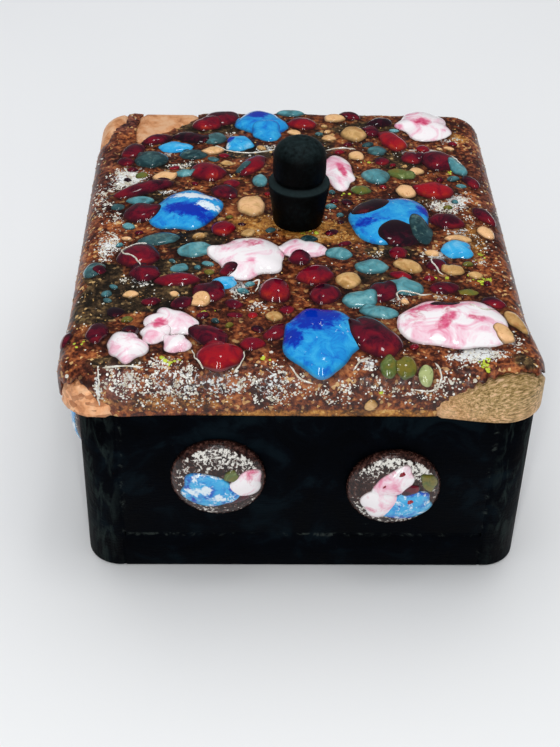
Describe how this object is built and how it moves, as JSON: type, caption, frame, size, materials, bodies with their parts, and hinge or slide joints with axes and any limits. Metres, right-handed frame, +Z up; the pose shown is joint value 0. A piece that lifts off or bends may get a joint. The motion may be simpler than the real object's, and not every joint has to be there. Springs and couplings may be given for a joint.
{
  "type": "enamel box",
  "caption": "Small black-painted wooden box under a lift-off enamelled copper lid with fused glass lumps and a turned knob, with domed enamelled discs on its walls.",
  "frame": {"origin": "on the ground, under the middle of the box", "axes": "+X to the right and +Y to the back as one faces the front wall, +Z up"},
  "size_m": [0.1116, 0.1286, 0.082],
  "materials": {
    "black_paint": "wood under brushed black paint, satin",
    "knob_paint": "wood under black paint, matte",
    "copper": "bare brushed copper",
    "lid_glass": "glossy vitreous enamel, lumpy",
    "disc_glass": "glossy vitreous enamel, domed"
  },
  "bodies": {
    "root": {"side_left": "black_paint", "side_right": "black_paint", "front_panel": "black_paint", "back_panel": "black_paint", "base_board": "black_paint", "lid_pan": "copper", "lid_enamel": "lid_glass", "knob": "knob_paint", "medallion_front_left": "disc_glass", "medallion_front_right": "disc_glass", "medallion_back_left": "disc_glass", "medallion_back_right": "disc_glass", "medallion_left_near": "disc_glass", "medallion_left_far": "disc_glass", "medallion_right_near": "disc_glass", "medallion_right_far": "disc_glass"}
  },
  "joints": []
}
